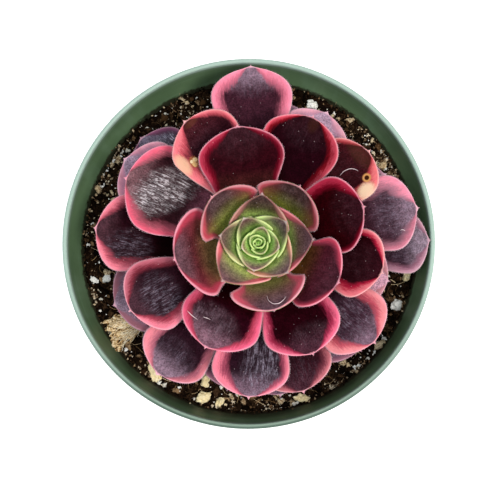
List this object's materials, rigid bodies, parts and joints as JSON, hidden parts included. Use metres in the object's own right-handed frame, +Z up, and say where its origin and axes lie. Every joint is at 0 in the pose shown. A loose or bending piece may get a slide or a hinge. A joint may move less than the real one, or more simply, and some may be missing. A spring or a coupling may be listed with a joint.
{
  "type": "potted aeonium",
  "caption": "Rosette succulent with a pale green heart and dark red leaves edged in pink, in soil in a round green nursery pot.",
  "frame": {"origin": "centre of the pot's foot ring, on the surface that it stands on", "axes": "+Z up along the pot's axis, -Y towards the viewer of the picture (its lower edge), +X to the picture's right"},
  "size_m": [0.152, 0.152, 0.1422],
  "materials": {
    "pot_plastic": "moulded satin",
    "potting_mix": "loose and rough",
    "stem_bark": "rough",
    "young_leaf": "waxy satin",
    "dark_leaf": "waxy satin",
    "old_leaf": "dusty satin",
    "dried_leaf": "dry and wrinkled",
    "tan_grit": "rough",
    "perlite": "rough"
  },
  "bodies": {
    "root": {"pot": "pot_plastic", "soil": "potting_mix", "stem": "stem_bark", "heart": "young_leaf", "leaf_01": "dark_leaf", "leaf_02": "dark_leaf", "leaf_03": "dark_leaf", "leaf_04": "dark_leaf", "leaf_05": "dark_leaf", "leaf_06": "dark_leaf", "leaf_07": "dark_leaf", "leaf_08": "dark_leaf", "leaf_09": "dark_leaf", "leaf_10": "dark_leaf", "leaf_11": "dark_leaf", "leaf_12": "dark_leaf", "leaf_13": "dark_leaf", "leaf_14": "dark_leaf", "leaf_15": "dark_leaf", "leaf_16": "dark_leaf", "leaf_17": "dark_leaf", "leaf_18": "dark_leaf", "leaf_19": "dark_leaf", "leaf_20": "dark_leaf", "leaf_21": "dark_leaf", "leaf_22": "old_leaf", "leaf_23": "old_leaf", "leaf_24": "old_leaf", "leaf_25": "old_leaf", "leaf_26": "old_leaf", "leaf_27": "old_leaf", "leaf_28": "old_leaf", "leaf_29": "old_leaf", "leaf_30": "old_leaf", "leaf_31": "old_leaf", "leaf_32": "old_leaf", "leaf_33": "old_leaf", "leaf_34": "old_leaf", "leaf_35": "old_leaf", "leaf_36": "old_leaf", "dried_leaf": "dried_leaf", "chip_01": "tan_grit", "chip_02": "tan_grit", "chip_03": "tan_grit", "chip_04": "tan_grit", "chip_05": "tan_grit", "chip_06": "perlite", "chip_07": "tan_grit", "chip_08": "perlite", "chip_09": "perlite", "chip_10": "perlite"}
  },
  "joints": []
}
